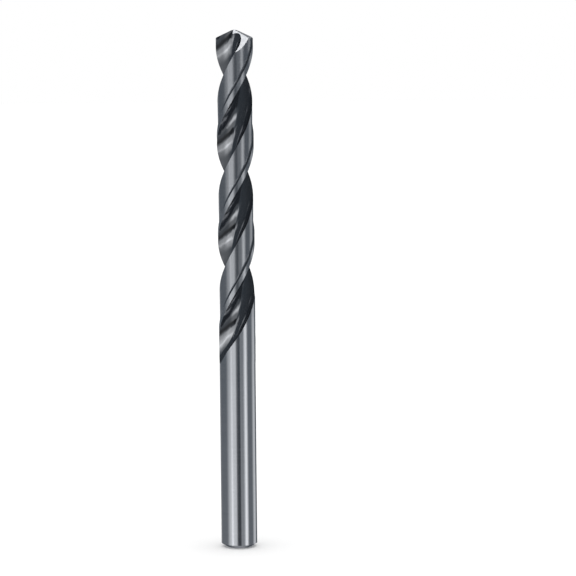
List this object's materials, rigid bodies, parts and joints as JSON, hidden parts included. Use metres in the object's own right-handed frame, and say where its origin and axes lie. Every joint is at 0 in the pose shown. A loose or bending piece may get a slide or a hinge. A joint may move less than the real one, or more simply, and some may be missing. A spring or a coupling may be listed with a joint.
{
  "type": "twist drill bit",
  "caption": "Straight-shank twist drill bit with helical flutes, narrow margins, relieved lands and a split point, standing on its bevelled shank end.",
  "frame": {"origin": "centre of the flat end face of the shank", "axes": "+Z along the drill's axis, from the shank end to the point; -Y faces the viewer of the picture and +X is to that viewer's right"},
  "size_m": [0.0082, 0.0082, 0.117],
  "materials": {
    "ground_steel": "satin"
  },
  "bodies": {
    "root": {"twist_drill": "ground_steel"}
  },
  "joints": []
}
